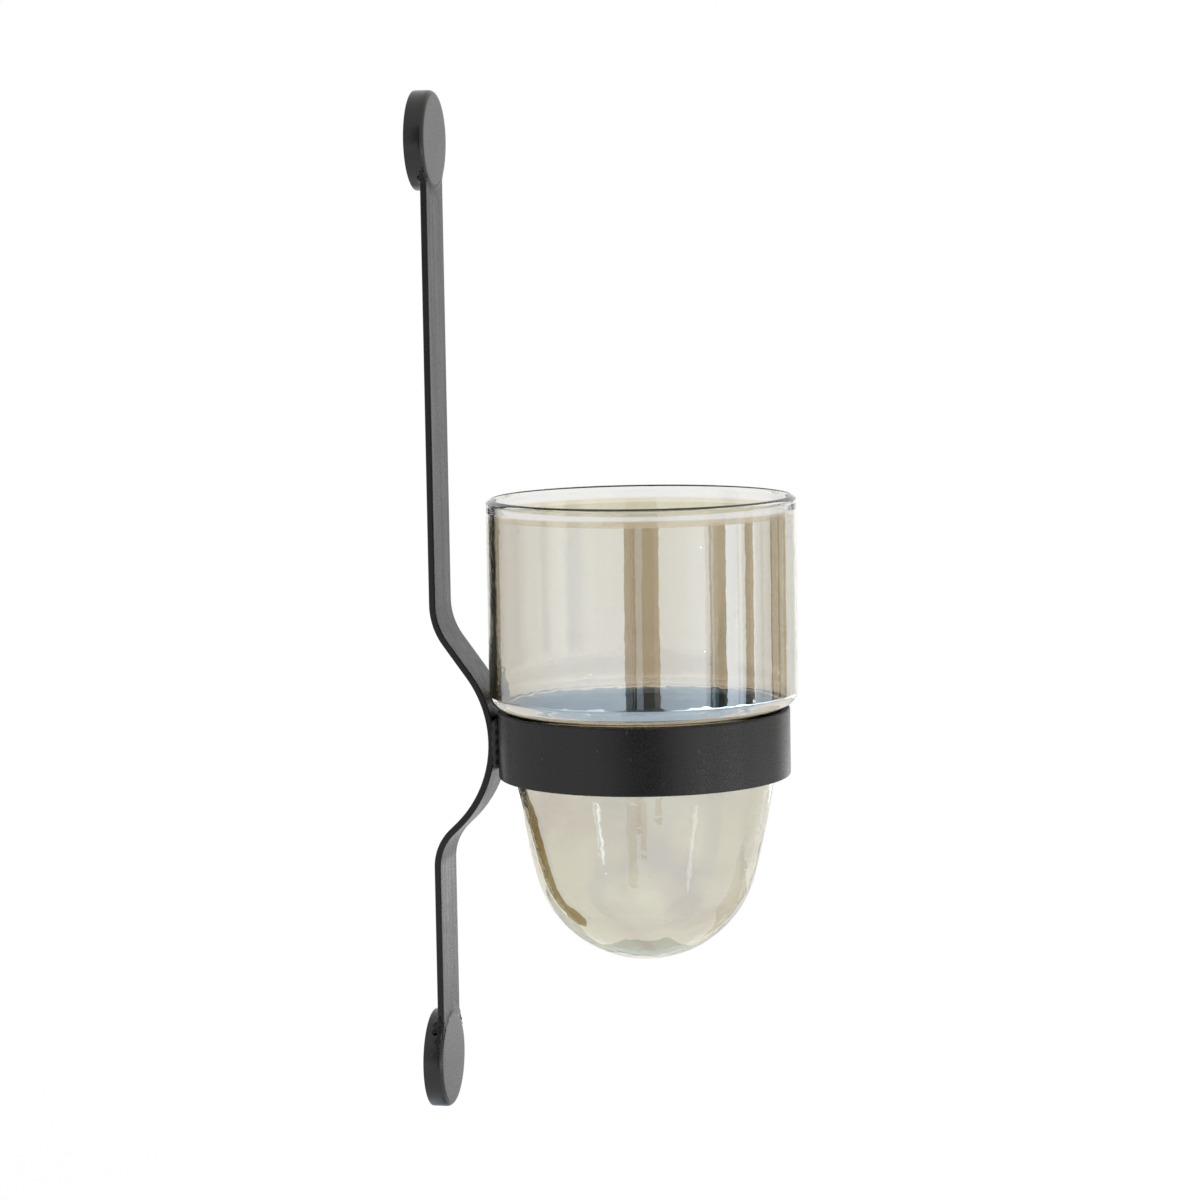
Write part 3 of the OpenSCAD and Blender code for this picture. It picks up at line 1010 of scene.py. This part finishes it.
# The sheet's corners, as distances behind the glass's axis and to the right
SHEET = ((0.055, -0.09), (0.055, 0.09), (0.42, 0.15), (0.42, -0.15))
SHEET_TONE = (0.42, 0.58, 0.72)


def tone(level, hue):
    """A card's colour; only dark cards show their hue."""
    share = max(0.0, 1 - level)
    return tuple(level * (1 - share + share * part) for part in hue) + (1.0,)


def stand_cards(name, rows, reach, low, high, azimuth, through):
    """Stands cards round the part, seen only in its reflections and, if through, in its glass."""
    centre = (CAD_BOX[0] + CAD_BOX[1]) / 2
    points, faces, tones = [], [], []
    for start, end, first, last, hue, *foot in rows:
        bottom = foot[0] if foot else low
        count = max(1, round((end - start) / CARD_STEP))
        for i in range(count):
            n = len(points)
            for k in (i, i + 1):
                a = azimuth + math.radians(start + (end - start) * k / count)
                x, y = centre.x + reach * math.sin(a), centre.y - reach * math.cos(a)
                points += [(x, y, bottom), (x, y, high)]
                tones += [tone(first + (last - first) * k / count, hue)] * 2
            faces.append((n, n + 2, n + 3, n + 1))
    material, net = new_material(name + "_paint")
    shade = net.node("ShaderNodeAttribute", {"attribute_name": "tone"}, out="Color")
    net.surface(net.glow(shade))
    made = plain_mesh(name, points, faces, material)
    layer = made.data.color_attributes.new("tone", "FLOAT_COLOR", "POINT")
    for corner, colour in zip(layer.data, tones):
        corner.color = colour
    reflection_only(made, through)


def lay_sheet(name, axis, azimuth, level):
    """Lays a sheet on the floor behind the part; it shows only as a reflection in the dome."""
    ahead = Vector((-math.sin(azimuth), math.cos(azimuth), 0))
    side = Vector((math.cos(azimuth), math.sin(azimuth), 0))
    foot = Vector((axis.x, axis.y, level))
    points = [foot + ahead * a + side * b for a, b in SHEET]
    material, net = new_material(name + "_paint")
    net.surface(net.glow(SHEET_TONE))
    reflection_only(plain_mesh(name, points, [(0, 1, 2, 3)], material), through=False)


# The floor's half width, its tones under the lamps and as a glow, and the distances from the
# glass's axis between which it fades into the white
FLOOR_HALF, FLOOR_TONE, FLOOR_GLOW = 4.0, (0.68, 0.68, 0.68), (0.41, 0.41, 0.41)
FADE_START, FADE_END = 0.5, 1.4
# The room's brightness where it isn't seen, and its colour in mirror rays
ROOM_LIGHT, ROOM_MIRRORED = 0.55, (1.0, 1.0, 0.96)
WHITE = (1, 1, 1)
# The point that the camera faces, and how far it is then moved to the right and up
AIM, SIDE, RISE = Vector((0, -50, -140)) * MM, 4.1477 * MM, 1.6108 * MM
SENSOR, CLIP_NEAR, CLIP_FAR = 36, 0.05, 50


def lay_floor(axis, level):
    """Lays the floor: it takes the part's shadow, and is lifted to white where it is seen."""
    material, net = new_material("pale_floor")
    diffuse = net.node("ShaderNodeBsdfDiffuse", None, Color=FLOOR_TONE)
    lit = net.node("ShaderNodeAddShader", None, diffuse, net.glow(FLOOR_GLOW))
    near = net.node("ShaderNodeMixShader", None, seen_white(net), diffuse, lit)
    far = net.remap(net.reach(net.place(), axis), FADE_START, FADE_END) * seen_white(net)
    net.surface(net.node("ShaderNodeMixShader", None, far, near, net.glow(WHITE)))
    corners = ((-1, -1), (1, -1), (1, 1), (-1, 1))
    points = [(x * FLOOR_HALF, y * FLOOR_HALF, level) for x, y in corners]
    plain_mesh("floor", points, [(0, 1, 2, 3)], material)


def light_room(scene):
    """Fills the room with a soft light that looks white behind the part."""
    world = bpy.data.worlds.new("white_room")
    scene.world = world
    net = Net(world)
    strength = ROOM_LIGHT + seen_white(net) * (1 - ROOM_LIGHT)
    mirrored = net.node("ShaderNodeLightPath", out="Is_Glossy_Ray")
    colour = net.mix(mirrored, WHITE, ROOM_MIRRORED)
    net.node(
        "ShaderNodeOutputWorld", None,
        Surface=net.node("ShaderNodeBackground", None, Color=colour, Strength=strength),
    )


def stand_camera(scene, stage):
    """Stands the camera where the photo was taken from."""
    a, e, r = stage.azimuth, stage.elevation, stage.roll
    back = Vector((math.sin(a) * math.cos(e), -math.cos(a) * math.cos(e), math.sin(e)))
    right = (-back).cross(Vector((0, 0, 1))).normalized()
    up = right.cross(-back)
    across = right * math.cos(r) + up * math.sin(r)
    above = up * math.cos(r) - right * math.sin(r)
    camera = bpy.data.cameras.new("camera")
    camera.lens, camera.sensor_width = stage.lens, SENSOR
    camera.clip_start, camera.clip_end = CLIP_NEAR, CLIP_FAR
    made = bpy.data.objects.new("camera", camera)
    place = Matrix.Translation(AIM + back * stage.distance + right * SIDE + up * RISE)
    made.matrix_world = place @ Matrix((across, above, back)).transposed().to_4x4()
    scene.collection.objects.link(made)
    scene.camera = made


class HOLDER_OT_set_stage(bpy.types.Operator):
    """Sets the floor, the background, the lamps and the camera"""

    bl_idname = "holder.set_stage"
    bl_label = "Set the Stage"

    def execute(self, context):
        scene, stage = context.scene, context.scene.holder_stage
        low, high = CAD_BOX
        glass_low, glass_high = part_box("glass_cup")
        axis, level, turn = (glass_low + glass_high) / 2, low.z - stage.drop, stage.azimuth
        lay_floor(axis, level)
        light_room(scene)
        lay_sheet("dark_sheet", axis, turn, level + MM)
        for name, rows, reach, foot, top, through in (
            ("studio_cards", CARDS, CARD_REACH, CARD_LOW, CARD_HIGH, True),
            ("tall_softboxes", SOFTBOXES, CARD_REACH, CARD_HIGH, SOFTBOX_HIGH, True),
            ("floor_lights", FLOOR_LIGHTS, FLOOR_LIGHT_REACH, CARD_LOW, FLOOR_LIGHT_HIGH, False),
            ("reflectors", REFLECTORS, REFLECTOR_REACH, CARD_LOW, REFLECTOR_HIGH, False),
        ):
            stand_cards(name, rows, reach, foot, top, turn, through)
        for name, place, width, power in LAMPS:
            hang_lamp(name, place, (low + high) / 2, width, power)
        stand_camera(scene, stage)
        scene.view_settings.view_transform = "Standard"
        return {"FINISHED"}


# Panel


class HOLDER_PT_looks(bpy.types.Panel):
    """Lists the sizes, colours and steps"""

    bl_idname = "HOLDER_PT_looks"
    bl_label = "Wall Tealight Holder"
    bl_space_type = "VIEW_3D"
    bl_region_type = "UI"
    bl_category = "Holder"

    def draw(self, context):
        for group, steps in PANEL:
            settings = getattr(context.scene, group)
            box = self.layout.box()
            for name in settings.__annotations__:
                box.prop(settings, name)
            for step in steps:
                box.operator(step.bl_idname)


PANEL = (
    ("holder_coat", (
        HOLDER_OT_coat_bracket, HOLDER_OT_press_caps, HOLDER_OT_lay_cap_welds,
        HOLDER_OT_coat_ring, HOLDER_OT_coat_welds,
    )),
    ("holder_glass", (HOLDER_OT_blow_glass,)),
    ("holder_stage", (HOLDER_OT_set_stage,)),
)
GROUPS = {
    "holder_coat": CoatSettings,
    "holder_glass": GlassSettings,
    "holder_stage": StageSettings,
}
STEPS = [step for _, steps in PANEL for step in steps]


def register():
    for item in (*GROUPS.values(), *STEPS, HOLDER_PT_looks):
        bpy.utils.register_class(item)
    for name, group in GROUPS.items():
        setattr(bpy.types.Scene, name, PointerProperty(type=group))


def unregister():
    for name in GROUPS:
        delattr(bpy.types.Scene, name)
    for item in (HOLDER_PT_looks, *reversed(STEPS), *reversed(GROUPS.values())):
        bpy.utils.unregister_class(item)


def main():
    register()
    bpy.ops.holder.coat_bracket()
    bpy.ops.holder.press_caps()
    bpy.ops.holder.lay_cap_welds()
    bpy.ops.holder.coat_ring()
    bpy.ops.holder.coat_welds()
    bpy.ops.holder.blow_glass()
    bpy.ops.holder.set_stage()
    boxes = {"cad": CAD_BOX, "visual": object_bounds()}
    {name: [list(low), list(high)] for name, (low, high) in boxes.items()}


if __name__ == "__main__":
    main()
